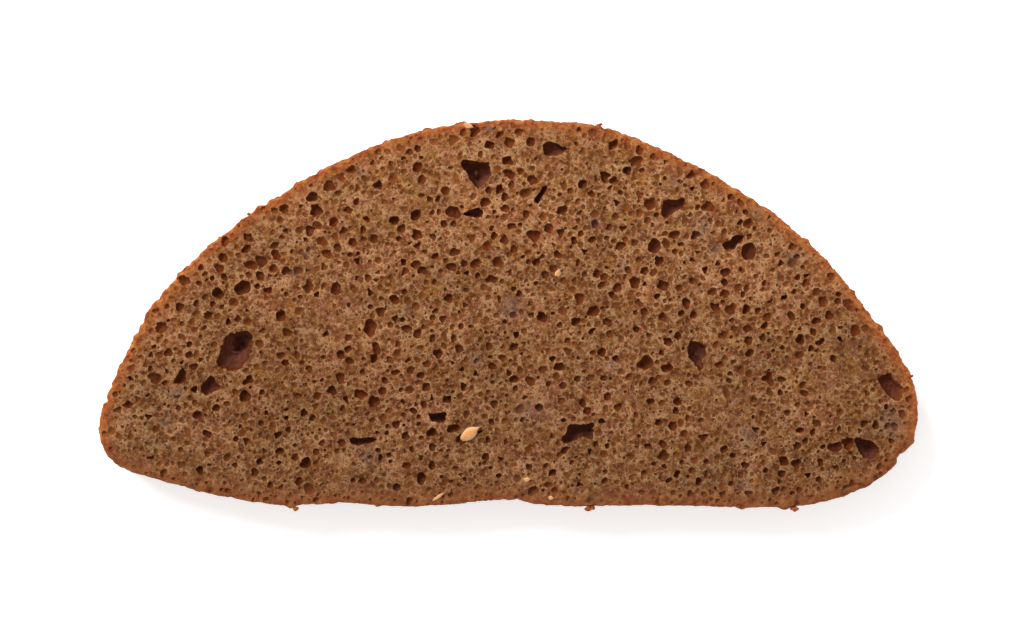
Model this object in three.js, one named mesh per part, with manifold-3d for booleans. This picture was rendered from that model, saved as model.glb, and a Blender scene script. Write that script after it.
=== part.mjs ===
// One slice of dark rye bread from a free-form, domed loaf, lying on its lower cut face.
// Millimetres, +Z up. +Y points from the loaf's base crust to the top of its dome, +X along the base,
// and the origin is under the middle of the slice, on the surface that it lies on.
import * as THREE from "three";
import { mergeVertices } from "three/addons/utils/BufferGeometryUtils.js";
import Module from "manifold-3d";

const wasm = await Module();
wasm.setup();

// Driving dimensions.
const width = 140; // along the loaf's base
const height = 66.2; // from base crust to dome
const thickness = 12; // between the two cut faces
const domeFlare = 0.9; // how far the upper cut face stands out past the lower one, round the dome
const baseFlare = 0.5; // and along the base
const outlineSteps = 144; // straight sides round the crust

// The loaf's cross-section as [across, up], in shares of half the width and half the height,
// anticlockwise from the right end of the base.
const sectionPoints = [
  [0.38, -0.99],
  [0.54, -1.0],
  [0.68, -1.0],
  [0.79, -0.965],
  [0.88, -0.885],
  [0.953, -0.765],
  [0.988, -0.63],
  [0.998, -0.5],
  [0.988, -0.36],
  [0.955, -0.225],
  [0.89, -0.03],
  [0.767, 0.295],
  [0.616, 0.56],
  [0.42, 0.805],
  [0.22, 0.965],
  [0.075, 0.995],
  [-0.115, 0.985],
  [-0.274, 0.905],
  [-0.42, 0.78],
  [-0.55, 0.62],
  [-0.68, 0.435],
  [-0.785, 0.235],
  [-0.87, 0.035],
  [-0.93, -0.2],
  [-0.972, -0.39],
  [-0.995, -0.55],
  [-0.99, -0.69],
  [-0.95, -0.795],
  [-0.85, -0.86],
  [-0.7, -0.945],
  [-0.55, -0.99],
  [-0.41, -0.978],
  [-0.27, -0.995],
  [-0.15, -0.99],
  [-0.03, -0.96],
  [0.12, -0.995],
  [0.25, -0.993],
];

// The crust from the lower cut face to the upper one: [height, how far the outline has drawn in, as a
// share of the flare].
const crustProfile = [
  [0, 1],
  [0.35 * thickness, 0.4],
  [0.8 * thickness, 0],
  [thickness, 0.1],
];

// The largest gas bubbles that the knife opened, each [across, up, length, breadth, turn in degrees]:
// the place in shares of half the width and half the height, the size in millimetres.
const upperBubbles = [
  [-0.073, 0.735, 5.2, 4.4, -60],
  [-0.672, -0.195, 5.6, 4.6, 40],
  [0.166, -0.615, 5.2, 3.4, 0],
  [0.873, -0.685, 4.2, 3.2, -10],
  [0.405, 0.555, 4.0, 3.2, 0],
  [0.93, -0.36, 4.8, 2.8, -55],
  [0.453, -0.2, 4.6, 2.4, -70],
  [0.098, 0.855, 4.2, 2.4, 0],
  [0.54, 0.37, 4.2, 2.2, 30],
];
const lowerBubbles = [
  [-0.6, -0.3, 5.0, 4.0, 20],
  [-0.35, 0.35, 4.4, 3.4, 65],
  [0.25, 0.6, 4.8, 3.6, -30],
  [0.62, -0.05, 5.2, 3.8, 50],
  [0.3, -0.55, 4.6, 3.0, 10],
  [-0.2, -0.65, 4.0, 3.2, -20],
];
const bubbleCentreDepth = 0.9; // how deep a bubble's middle lies under the cut
const bubbleDepthShare = 0.55; // half of a bubble's depth, as a share of its breadth
const bubbleSides = 14;
const bubbleBands = 8;

const rye = new THREE.MeshStandardMaterial({ color: 0x81532f, roughness: 0.85, metalness: 0 });

// The cross-section as a closed smooth curve, stretched to the exact width and height and centred.
function sectionOutline() {
  const curve = new THREE.CatmullRomCurve3(
    sectionPoints.map(([across, up]) => new THREE.Vector3(across, up, 0)),
    true,
  );
  const points = curve.getSpacedPoints(outlineSteps).slice(0, outlineSteps);
  const box = new THREE.Box3().setFromPoints(points);
  const middle = box.getCenter(new THREE.Vector3());
  const size = box.getSize(new THREE.Vector3());
  return points.map(
    (p) => new THREE.Vector2(((p.x - middle.x) / size.x) * width, ((p.y - middle.y) / size.y) * height),
  );
}

// The outline drawn in by a share of the flare, square to itself.
function drawnIn(outline, share) {
  return outline.map((point, i) => {
    const before = outline.at(i - 1);
    const after = outline[(i + 1) % outline.length];
    const along = after.clone().sub(before).normalize();
    const domeward = THREE.MathUtils.smoothstep(-along.x, -0.9, 0.1);
    const distance = share * THREE.MathUtils.lerp(baseFlare, domeFlare, domeward);
    return new THREE.Vector2(point.x - along.y * distance, point.y + along.x * distance);
  });
}

// The slice before its bubbles: a ring of points at each height of the crust, capped by the cut faces.
function sliceBlank() {
  const outline = sectionOutline();
  const rings = crustProfile.map(([z, share]) => ({ z, points: drawnIn(outline, share) }));
  const positions = rings.flatMap(({ z, points }) => points.flatMap((p) => [p.x, p.y, z]));
  const triangles = [];
  for (let ring = 0; ring + 1 < rings.length; ring++) {
    for (let i = 0; i < outlineSteps; i++) {
      const next = (i + 1) % outlineSteps;
      const low = ring * outlineSteps;
      const high = low + outlineSteps;
      triangles.push(low + i, low + next, high + next, low + i, high + next, high + i);
    }
  }
  const lowerCut = THREE.ShapeUtils.triangulateShape(rings[0].points, []);
  const upperCut = THREE.ShapeUtils.triangulateShape(rings.at(-1).points, []);
  const top = (rings.length - 1) * outlineSteps;
  lowerCut.forEach(([a, b, c]) => triangles.push(a, c, b));
  upperCut.forEach(([a, b, c]) => triangles.push(top + a, top + b, top + c));
  const geometry = new THREE.BufferGeometry();
  geometry.setAttribute("position", new THREE.Float32BufferAttribute(positions, 3));
  geometry.setIndex(triangles);
  return geometry;
}

// An ellipsoidal bubble whose middle lies under a cut face at the given height.
function bubble([across, up, length, breadth, turn], z) {
  const geometry = new THREE.SphereGeometry(1, bubbleSides, bubbleBands);
  geometry.scale(length / 2, breadth / 2, breadth * bubbleDepthShare);
  geometry.rotateZ(THREE.MathUtils.degToRad(turn));
  geometry.translate((across * width) / 2, (up * height) / 2, z);
  return geometry;
}

// A closed three.js geometry as a manifold-3d solid.
function solid(geometry) {
  const bare = geometry.clone();
  bare.deleteAttribute("normal");
  bare.deleteAttribute("uv");
  const merged = mergeVertices(bare, 1e-4);
  const mesh = new wasm.Mesh({
    numProp: 3,
    vertProperties: merged.attributes.position.array,
    triVerts: new Uint32Array(merged.index.array),
  });
  return new wasm.Manifold(mesh);
}

// A manifold-3d solid as a three.js geometry.
function geometryOf(body) {
  const mesh = body.getMesh();
  const geometry = new THREE.BufferGeometry();
  geometry.setAttribute("position", new THREE.BufferAttribute(mesh.vertProperties, 3));
  geometry.setIndex(new THREE.BufferAttribute(mesh.triVerts, 1));
  geometry.computeVertexNormals();
  return geometry;
}

function breadSlice() {
  let body = solid(sliceBlank());
  for (const row of upperBubbles) body = body.subtract(solid(bubble(row, thickness - bubbleCentreDepth)));
  for (const row of lowerBubbles) body = body.subtract(solid(bubble(row, bubbleCentreDepth)));
  const mesh = new THREE.Mesh(geometryOf(body), rye);
  mesh.name = "bread_slice";
  return mesh;
}

const ryeSlice = new THREE.Group();
ryeSlice.add(breadSlice());

export default ryeSlice;
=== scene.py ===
"""A slice of dark rye bread, with its crumb, its crust and its husks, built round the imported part."""

import itertools
import math
from collections import namedtuple

import bmesh
import bpy
import numpy as np
from bpy.props import FloatProperty, FloatVectorProperty, IntProperty, PointerProperty
from bpy.types import Operator, Panel, PropertyGroup
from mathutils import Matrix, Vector
from mathutils.bvhtree import BVHTree
from mathutils.geometry import delaunay_2d_cdt


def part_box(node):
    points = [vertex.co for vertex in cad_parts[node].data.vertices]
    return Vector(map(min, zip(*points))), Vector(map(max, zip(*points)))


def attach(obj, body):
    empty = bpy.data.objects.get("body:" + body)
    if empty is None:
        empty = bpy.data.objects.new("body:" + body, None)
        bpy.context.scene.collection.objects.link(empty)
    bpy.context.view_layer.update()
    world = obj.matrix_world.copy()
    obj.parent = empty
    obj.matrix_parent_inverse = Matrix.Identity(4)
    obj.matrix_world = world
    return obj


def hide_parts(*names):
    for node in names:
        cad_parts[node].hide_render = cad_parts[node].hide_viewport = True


bl_info = {
    "name": "Rye bread slice",
    "version": (1, 0, 0),
    "blender": (4, 5, 0),
    "location": "3D View > Sidebar > Bread",
    "description": "Builds a slice of dark rye bread from its bubbles, its crust and its colours",
    "category": "Object",
}

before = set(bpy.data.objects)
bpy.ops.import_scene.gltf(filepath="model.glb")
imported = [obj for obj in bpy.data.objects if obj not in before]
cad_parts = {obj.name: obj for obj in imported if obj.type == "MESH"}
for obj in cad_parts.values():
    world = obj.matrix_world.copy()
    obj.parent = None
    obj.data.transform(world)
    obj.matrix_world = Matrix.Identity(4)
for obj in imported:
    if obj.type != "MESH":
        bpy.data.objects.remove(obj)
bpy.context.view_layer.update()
SLICE = "bread_slice"
LOW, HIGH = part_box(SLICE)
MM = 0.001
HALF_WIDTH = (HIGH.x - LOW.x) / 2 / MM
HALF_HEIGHT = (HIGH.y - LOW.y) / 2 / MM
THICKNESS = (HIGH.z - LOW.z) / MM
WIDEST = 0.8 * THICKNESS  # the height at which the slice is widest
SPOKES = 60  # directions in which a bubble's reach is known
STRIPS = 3  # strips that the crust is cut into on the texture
TURN = 2 * math.pi
WAVES = (0.1, 0.15, 0.08, 0.06, 0.05, 0.04, 0.035)  # usual heights of the waves round a bubble's mouth
PRIMES = (73856093, 19349663, 83492791)  # they keep the random numbers of neighbouring places apart

# The lists below are given: across and up in shares of half the width and half the height, and
# the rest in millimetres. All other bubbles are sown by the settings and the seed.

# Torn bubbles, the few widest ones: across, up, depth, how square the bottom is, and the mouth's corners.
TORN_BUBBLES = (
    (-0.077, 0.728, 4.6, 5, (
        (-3.0, 2.25), (-1.4, 2.1), (2.05, 1.95), (2.35, -0.35), (1.45, -1.7), (0.15, -2.75), (-1.1, -1.2),
        (-2.4, 0.95),
    )),
    (-0.669, -0.193, 3.4, 2.4, (
        (-1.1, 3.0), (0.3, 3.3), (1.8, 3.1), (3.1, 2.0), (3.0, 0.6), (2.4, -1.4), (1.2, -2.8),
        (-0.4, -3.3), (-2.2, -3.0), (-3.3, -2.0), (-2.6, 0.2),
    )),
    (-0.655, -0.15, 5.4, 2.6, (
        (-0.8, 2.0), (1.2, 2.1), (2.2, 1.0), (1.5, -1.0), (0.1, -2.0), (-1.6, -1.8), (-1.7, 0.2),
    )),
    (0.112, 0.854, 3.0, 4, (
        (-1.9, 0.8), (-0.9, 1.3), (0.7, 0.8), (1.55, 0.1), (2.25, 0.35), (2.25, -0.1), (1.6, -0.7),
        (0.35, -1.2), (-1.55, -1.15), (-1.95, -0.45),
    )),
    (0.172, -0.611, 3.6, 4, (
        (-1.75, 1.2), (-0.7, 1.35), (0.5, 1.3), (1.75, 1.45), (2.55, 1.75), (3.05, 1.4), (2.35, 0.95),
        (2.35, -1.5), (1.2, -0.8), (0.5, -0.85), (-0.8, -1.5), (-2.3, -1.9), (-2.9, -1.3), (-2.1, 0.5),
    )),
    (0.877, -0.699, 3.4, 3, (
        (-2.1, 2.1), (-1.1, 1.75), (0.6, 1.55), (1.85, 0.35), (2.1, -0.35), (1.65, -1.2), (1.15, -1.75),
        (-0.45, -1.5), (-1.3, -0.8), (-2.1, 1.2),
    )),
    (0.933, -0.377, 2.6, 3, (
        (-2.25, 1.4), (-1.4, 2.1), (0.0, 2.45), (0.6, 1.2), (1.4, 0.5), (2.1, 0.2), (2.25, -0.7),
        (1.9, -2.25), (1.05, -2.45), (-0.7, -1.2), (-1.9, 0.7),
    )),
    (0.400, 0.552, 3.2, 3, (
        (-1.55, 1.1), (-0.7, 1.4), (0.7, 1.25), (2.0, 1.55), (2.35, 0.7), (1.9, 0.0), (0.25, -0.95),
        (-1.15, -2.0), (-1.9, -1.4), (-1.75, 0.0),
    )),
    (0.548, 0.368, 2.8, 4, (
        (-1.9, -0.7), (-1.65, 0.0), (-0.45, 0.35), (0.0, 1.15), (1.15, 1.4), (2.0, 1.1), (1.65, 0.25),
        (0.8, -0.25), (0.25, -1.15), (-0.95, -1.3),
    )),
    (0.459, -0.205, 3.0, 4, (
        (-1.05, 2.35), (-0.35, 2.1), (1.55, 1.4), (1.7, -0.25), (0.85, -1.05), (1.3, -2.35), (0.6, -3.05),
        (0.0, -2.1), (-1.25, -0.7), (-1.6, 1.15),
    )),
    (-0.173, -0.530, 3.0, 5, (
        (-1.7, 0.6), (-0.95, 0.4), (0.25, 0.7), (1.6, 0.7), (1.3, -0.25), (1.45, -0.85), (0.25, -1.1),
        (-1.2, -0.7),
    )),
    (-0.358, -0.655, 2.6, 4, (
        (-2.15, 0.5), (-0.95, 0.4), (2.15, 0.6), (2.5, 0.1), (1.6, -0.4), (0.6, -0.5), (-0.5, -0.9),
        (-1.9, -0.5),
    )),
    (-0.081, 0.522, 3.0, 4, (
        (-2.8, -0.25), (-1.7, 0.0), (-0.95, 0.45), (0.5, 1.05), (1.35, 0.35), (1.2, -0.6), (0.25, -0.85),
        (-1.2, -0.5),
    )),
    (0.078, 0.616, 2.8, 5, (
        (0.8, 1.75), (1.2, 1.3), (0.8, 0.45), (0.1, -0.6), (-0.45, -1.55), (-0.85, -1.3), (-1.1, -0.8),
        (-0.45, 0.1),
    )),
    (-0.801, -0.322, 2.4, 3, (
        (0.35, 1.55), (0.9, 0.6), (0.95, -0.95), (-0.2, -1.4), (-1.3, -1.15), (-0.8, -0.1), (-0.45, 0.6),
    )),
    (-0.731, -0.369, 2.6, 3, (
        (0.35, 1.85), (0.95, 1.3), (1.05, 0.6), (2.1, -0.35), (1.2, -0.95), (-0.7, -1.75), (-1.4, -0.95),
        (-1.55, -0.1), (-0.9, 0.6),
    )),
)

# Grey and mauve blooms of flour on the cut: across, up, reach, strength.
BLOOMS = (
    (-0.048, 0.955, 0.7, 1.0), (-0.362, 0.735, 0.8, 0.7), (0.407, 0.68, 0.9, 0.8),
    (0.608, 0.525, 0.8, 0.8), (0.206, 0.48, 0.9, 0.7), (0.47, 0.44, 1.6, 0.55), (0.505, 0.325, 1.0, 0.9),
    (0.005, 0.035, 1.8, 0.75), (-0.493, 0.315, 0.7, 0.6), (-0.526, 0.21, 0.9, 0.6),
    (0.698, 0.29, 1.2, 0.7), (-0.81, -0.415, 1.0, 0.7), (-0.838, -0.56, 0.9, 0.6),
    (-0.345, -0.735, 1.3, 0.6), (0.05, -0.5, 2.6, 0.4), (0.585, -0.63, 2.0, 0.45),
    (0.937, -0.56, 1.9, 0.55), (0.282, 0.25, 1.0, 0.5), (-0.082, -0.235, 1.1, 0.6),
    (0.255, -0.27, 1.1, 0.5), (-0.25, 0.02, 0.9, 0.4), (0.575, -0.89, 1.0, 0.5),
)

# Dents and knobs of the crust: across, up, half their length along the crust, and how far they stand out.
CRUST_KNOBS = (
    (0.965, -0.745, 1.0, -0.8), (0.985, -0.66, 0.7, 0.45), (0.678, -1.0, 0.8, 0.6), (0.57, -1.0, 0.7, 0.35),
    (-0.531, -0.99, 0.7, 0.55), (-0.32, -0.99, 0.5, 0.3), (0.221, 0.96, 0.45, 0.55), (0.73, 0.39, 0.6, 0.4),
    (-0.61, 0.55, 0.8, 0.4), (-0.8, 0.2, 0.6, 0.4), (-0.895, -0.05, 0.6, -0.3), (0.915, -0.06, 0.7, 0.4),
    (-0.978, -0.45, 0.5, -0.35), (0.02, -0.97, 0.6, -0.3), (0.85, 0.12, 0.5, 0.35),
)

# Husk flakes on the cut: across, up, length, breadth, turn in degrees, lift of the far end.
FLAKES = (
    (-0.089, -0.61, 4.3, 2.0, 33, 0.7), (0.122, 0.214, 1.5, 1.0, 60, 0.3),
    (-0.168, -0.94, 2.9, 0.55, 34, 0.5), (0.047, -0.855, 1.4, 0.8, 5, 0.25),
    (0.105, -0.95, 1.0, 0.7, -10, 0.2), (-0.096, 0.972, 1.9, 1.0, -20, 0.4),
)

# Crumbs that stick to the crust: across, up, height over the board, size.
CRUMBS = (
    (0.197, -1.022, 11.0, 1.2), (0.205, -1.0, 11.2, 0.8), (0.7, -1.012, 11.0, 1.3),
    (-0.52, -1.008, 11.0, 1.0), (0.228, 0.985, 11.2, 0.5), (-0.64, 0.535, 11.2, 0.6),
    (0.993, -0.32, 11.2, 0.5),
)


def shade(red, green, blue):
    """A colour given as it looks, from 0 to 255, as the light that a shader works in."""
    return tuple(
        part / 255 / 12.92 if part <= 10 else ((part / 255 + 0.055) / 1.055) ** 2.4
        for part in (red, green, blue)
    )


def length(name, description, default):
    return FloatProperty(
        name=name, description=description, default=default, min=0, unit="LENGTH", precision=5
    )


def colour(name, description, default):
    return FloatVectorProperty(
        name=name, description=description, default=default, subtype="COLOR", size=3, min=0, max=1
    )


def share(name, description, default):
    return FloatProperty(name=name, description=description, default=default, min=0, subtype="FACTOR")


def number(name, description, default):
    return IntProperty(name=name, description=description, default=default, min=0)


def strength(name, description, default):
    return FloatProperty(name=name, description=description, default=default, min=0)


class BreadSliceSettings(PropertyGroup):
    """The crumb and the crust."""

    bubble_size: length("Bubble size", "Middle size of the crumb's whole bubbles", 1.6 * MM)
    bubble_spread: share("Bubble spread", "How much the bubbles' sizes differ, as a log deviation", 0.25)
    bubble_count: number("Bubbles", "Whole bubbles in a cut face", 265)
    pore_size: length("Pore size", "Middle size of the crumb's pores", 0.82 * MM)
    pore_spread: share("Pore spread", "How much the pores' sizes differ, as a log deviation", 0.5)
    pore_count: number("Pores", "Open pores in a cut face", 1300)
    dimple_count: number("Dimples", "Shallow hollows where the knife just touched a pore", 1350)
    pinhole_count: number("Pinholes", "Smallest pores", 450)
    merging: share("Merging", "Share of the pores that run into a neighbour", 0.25)
    corners: share("Cornered pores", "Share of the pores whose mouths have corners", 0.45)
    wall: length("Pore wall", "Thinnest crumb between two pores", 0.1 * MM)
    mesh_step: length("Crumb mesh step", "Mesh size on the upper cut face", 0.22 * MM)
    under_step: length("Lower mesh step", "Mesh size on the lower cut face", 0.5 * MM)
    crust_step: length("Crust mesh step", "Mesh size on the crust", 0.3 * MM)
    tear: length("Tear of the crumb", "Height of the crumb's bumps", 0.07 * MM)
    foam: length("Foam", "Depth of the shallow cells that the knife left all over the crumb", 0.18 * MM)
    crust_bumps: length("Bumps of the crust", "Height of the crust's bumps", 0.42 * MM)
    crust_reach: length("Crust thickness", "How far the baked colour reaches into the cut", 1.2 * MM)
    rounding: length("Crust rounding", "How far the cut sinks at its very edge", 0.4 * MM)
    seed: number("Seed", "Which crumb the dough happens to make", 11)
    crumb: colour("Crumb", "Middle colour of the crumb", shade(127, 81, 38))
    golden: colour("Golden crumb", "Colour of the yellower patches", shade(144, 91, 33))
    warm: colour("Warm crumb", "Colour of the redder patches", shade(135, 79, 49))
    # Partly the thin walls' own paler colour, partly painted highlight on the raised walls, the grain's
    # highs and the pores' rims
    pale: colour("Pale crumb", "Colour of the crumb's thin moist walls", shade(176, 138, 100))
    # Painted highlight: the glints of the crumb's moist specks are painted in this colour
    gleam: colour("Gleam", "Colour of the moist specks", shade(228, 192, 158))
    # Painted shade: the colour painted into the crumb's low places, between its walls, in its pits and in
    # its foam's cells
    painted_shade: colour("Dark crumb", "Colour between the crumb's walls", shade(94, 42, 7))
    # Painted shade in the pores: their insides are painted from the shallow colour under the rim to the
    # darker pore colour deeper down, and to the colour of shade at the bottom of the deepest
    shallow: colour("Shallow pore", "Colour just under a pore's rim", shade(118, 66, 25))
    pore: colour("Pore", "Colour of a pore's inside", shade(99, 41, 9))
    deep: colour("Deep pore", "Colour at the bottom of the deepest pores", shade(112, 64, 50))
    crust: colour("Crust", "Colour of the crust round the dome", shade(156, 84, 42))
    crust_gold: colour("Golden crust", "Colour of the crust's thin, crisp places", shade(182, 120, 56))
    skin: colour("Outer crust", "Colour of the loaf's outside, under the rim of the cut", shade(104, 52, 28))
    # Partly the crust's own red patches, partly painted shade in the crust's small pits
    crust_red: colour("Red crust", "Colour of the crust's hollows", shade(108, 40, 20))
    base: colour("Base crust", "Colour of the crust along the base", shade(133, 80, 45))
    scorch: colour("Scorch", "Colour of the crust's darkest places", shade(62, 36, 26))
    bloom: colour("Flour bloom", "Colour of old flour in the crumb", shade(116, 96, 88))


class HuskSettings(PropertyGroup):
    """The husk flakes and the crumbs on the crust."""

    thickness: length("Husk thickness", "Thickness of a husk flake", 0.14 * MM)
    husk: colour("Husk", "Colour of a husk flake", shade(208, 142, 78))
    husk_edge: colour("Husk edge", "Colour of a husk's pale edge", shade(236, 200, 158))


class StageSettings(PropertyGroup):
    """The floor, the lights and the camera."""

    floor_size: length("Floor size", "Side of the floor", 24.0)
    floor_colour: colour("Floor", "Colour of the floor", shade(246, 246, 245))
    key_strength: strength("Key light", "Strength of the key light", 2.8)
    key_spread: FloatProperty(
        name="Key spread",
        description="Angle that the key light fills",
        default=math.radians(28),
        subtype="ANGLE",
        unit="ROTATION",
    )
    fill_strength: strength("Fill light", "Strength of the light from all round", 0.61)
    floor_glow: strength("Floor glow", "Light that the board gives off like a light table", 0.5)
    lens: FloatProperty(name="Lens", description="Focal length in millimetres", default=300, min=1)
    view_width: length("View width", "Width of what the camera sees at the slice", 175.4 * MM)


class Wire:
    """A shader socket that takes part in sums. Each sum adds its Math node."""

    def __init__(self, sheet, socket):
        self.sheet = sheet
        self.socket = socket

    def math(self, operation, first, second):
        return self.sheet.node("ShaderNodeMath", {"operation": operation}, {0: first, 1: second})

    def __add__(self, other):
        return self.math("ADD", self, other)

    def __sub__(self, other):
        return self.math("SUBTRACT", self, other)

    def __mul__(self, other):
        return self.math("MULTIPLY", self, other)

    def __rsub__(self, other):
        return self.math("SUBTRACT", other, self)

    __radd__ = __add__
    __rmul__ = __mul__

    def between(self, low, high):
        """From 0 at low to 1 at high, with a soft start and end."""
        settings = {"interpolation_type": "SMOOTHSTEP"}
        sockets = {"Value": self, "From Min": low, "From Max": high}
        return self.sheet.node("ShaderNodeMapRange", settings, sockets)


class Sheet:
    """A material's node tree."""

    def __init__(self, name):
        self.material = bpy.data.materials.new(name)
        self.material.use_nodes = True
        self.tree = self.material.node_tree
        self.tree.nodes.clear()

    def node(self, kind, settings=None, sockets=None, output=0):
        """Adds a node, makes its settings, then fills its sockets with values or links."""
        made = self.tree.nodes.new(kind)
        for name, value in (settings or {}).items():
            setattr(made, name, value)
        for name, value in (sockets or {}).items():
            if isinstance(value, Wire):
                self.tree.links.new(value.socket, made.inputs[name])
            elif isinstance(value, tuple) and len(made.inputs[name].default_value) == 4:
                made.inputs[name].default_value = (*value, 1)
            else:
                made.inputs[name].default_value = value
        return Wire(self, made.outputs[output]) if made.outputs else None

    def measure(self, name):
        """A number that the mesh carries."""
        return self.node("ShaderNodeAttribute", {"attribute_name": name}, output="Fac")

    def noise(self, place, size, detail=2.0, roughness=0.5, output=0):
        sockets = {"Vector": place, "Scale": 1 / size, "Detail": detail, "Roughness": roughness}
        return self.node("ShaderNodeTexNoise", None, sockets, output)

    def cells(self, place, size):
        """A foam: how far a point is from its cell's middle, and a number that each cell has for itself."""
        far = self.node("ShaderNodeTexVoronoi", None, {"Vector": place, "Scale": 1 / size}, "Distance")
        own = Wire(self, far.socket.node.outputs["Color"])
        return far, self.node("ShaderNodeSeparateColor", None, {"Color": own}, "Red")

    def strands(self, place, size):
        """How far a point is from the nearest wall of that foam."""
        settings = {"feature": "DISTANCE_TO_EDGE"}
        return self.node("ShaderNodeTexVoronoi", settings, {"Vector": place, "Scale": 1 / size})

    def drifted(self, place, size, most):
        """Places pushed about, so that what is drawn there gets crooked."""
        push = self.noise(place, size, 1.0, output="Color")
        push = self.node("ShaderNodeVectorMath", {"operation": "SUBTRACT"}, {0: push, 1: (0.5, 0.5, 0.5)})
        push = self.scaled(push, 2 * most)
        return self.node("ShaderNodeVectorMath", {"operation": "ADD"}, {0: place, 1: push})

    def mixed(self, first, second, amount):
        """Two colours mixed."""
        colour_a, colour_b, result = 6, 7, 2  # by number, because the node has several of each name
        sockets = {0: amount, colour_a: tuple_of(first), colour_b: tuple_of(second)}
        return self.node("ShaderNodeMix", {"data_type": "RGBA"}, sockets, result)

    def layered(self, tint, *layers):
        """A colour with others laid over it one after the other, each by its amount."""
        for over, amount in layers:
            tint = self.mixed(tint, over, amount)
        return tint

    def scaled(self, tint, amount):
        """A colour made lighter or darker, or a vector made longer or shorter."""
        sockets = {0: tuple_of(tint), "Scale": amount}
        return self.node("ShaderNodeVectorMath", {"operation": "SCALE"}, sockets)

    def bumped(self, height, strength, distance):
        """The surface's direction, tilted by a height that the mesh doesn't have."""
        sockets = {"Strength": strength, "Distance": distance, "Height": height}
        return self.node("ShaderNodeBump", None, sockets, "Normal")

    def surface(self, tint, roughness, bump, **fixed):
        """The shader itself. What is the same all over is set on its own sockets."""
        sockets = {"Base Color": tint, "Roughness": roughness, "Normal": bump, **fixed}
        shader = self.node("ShaderNodeBsdfPrincipled", None, sockets)
        self.node("ShaderNodeOutputMaterial", None, {"Surface": shader})
        return self.material


def tuple_of(tint):
    """A colour as a socket takes it."""
    return tint if isinstance(tint, Wire) else tuple(tint)


def pointing(angle):
    """Steps of length one in the given directions."""
    return np.stack([np.cos(angle), np.sin(angle)], 1)


def turned(x, y, angle):
    """Places turned about the middle."""
    cosine, sine = math.cos(angle), math.sin(angle)
    return np.stack([x * cosine - y * sine, x * sine + y * cosine], 1)


def scrambled(whole):
    """Whole numbers turned into others that look random."""
    whole = (whole ^ (whole >> 13)) * 1274126177
    return (whole ^ (whole >> 16)) * 668265263


def bumps(points, size, seed):
    """Smooth random numbers from -1 to 1 over the points, that change over about the given size."""
    cell = np.asarray(points, float) / size
    low = np.floor(cell).astype(np.int64)
    part = cell - low
    part = part**3 * (part * (part * 6 - 15) + 10)
    total = np.zeros(len(cell))
    for corner in itertools.product((0, 1), repeat=cell.shape[1]):
        weight = np.ones(len(cell))
        mixed = np.full(len(cell), seed * 2654435761 + 12345, np.int64)
        for axis, step in enumerate(corner):
            weight *= part[:, axis] if step else 1 - part[:, axis]
            mixed ^= (low[:, axis] + step) * PRIMES[axis]
        total += weight * (((scrambled(mixed) >> 11) & 0xFFFF) / 32767.5 - 1)
    return total


def rough(points, seed, *layers):
    """Bumps of several sizes at once, each layer with its size and its height."""
    return sum(bumps(points, size, seed + i) * height for i, (size, height) in enumerate(layers))


def foam(points, size, seed):
    """How far each point is from the middle of its cell in a foam, in shares of the cells' size."""
    cell = np.asarray(points, float) / size
    low = np.floor(cell).astype(np.int64)
    nearest = np.full(len(cell), 9.0)
    for step in itertools.product((-1, 0, 1), repeat=2):
        home = low + step
        mixed = scrambled((home[:, 0] * PRIMES[0]) ^ (home[:, 1] * PRIMES[1]) ^ (seed * PRIMES[2]))
        place = np.stack([(mixed >> 11) & 0xFFFF, (mixed >> 29) & 0xFFFF], 1) / 65535
        nearest = np.minimum(nearest, np.linalg.norm(home + place - cell, axis=1))
    return nearest


def smooth_step(value, low, high):
    """From 0 at low to 1 at high, with a soft start and end."""
    part = np.clip((value - low) / (high - low), 0, 1)
    return part * part * (3 - 2 * part)


def edge_drop(points, gap, most, seed):
    """How far a cut sinks where it meets the crust, at points that are a gap away from the crust."""
    return most * (1 - smooth_step(gap, -0.3, 1.1)) * (1 + 0.6 * bumps(points, 0.9, seed))


def toward(reach, angle):
    """How far a bubble reaches in the given directions, from its reach along each spoke."""
    place = angle * SPOKES / TURN
    low = np.floor(place).astype(int) % SPOKES
    part = place - np.floor(place)
    return reach[low] * (1 - part) + reach[(low + 1) % SPOKES] * part


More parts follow.
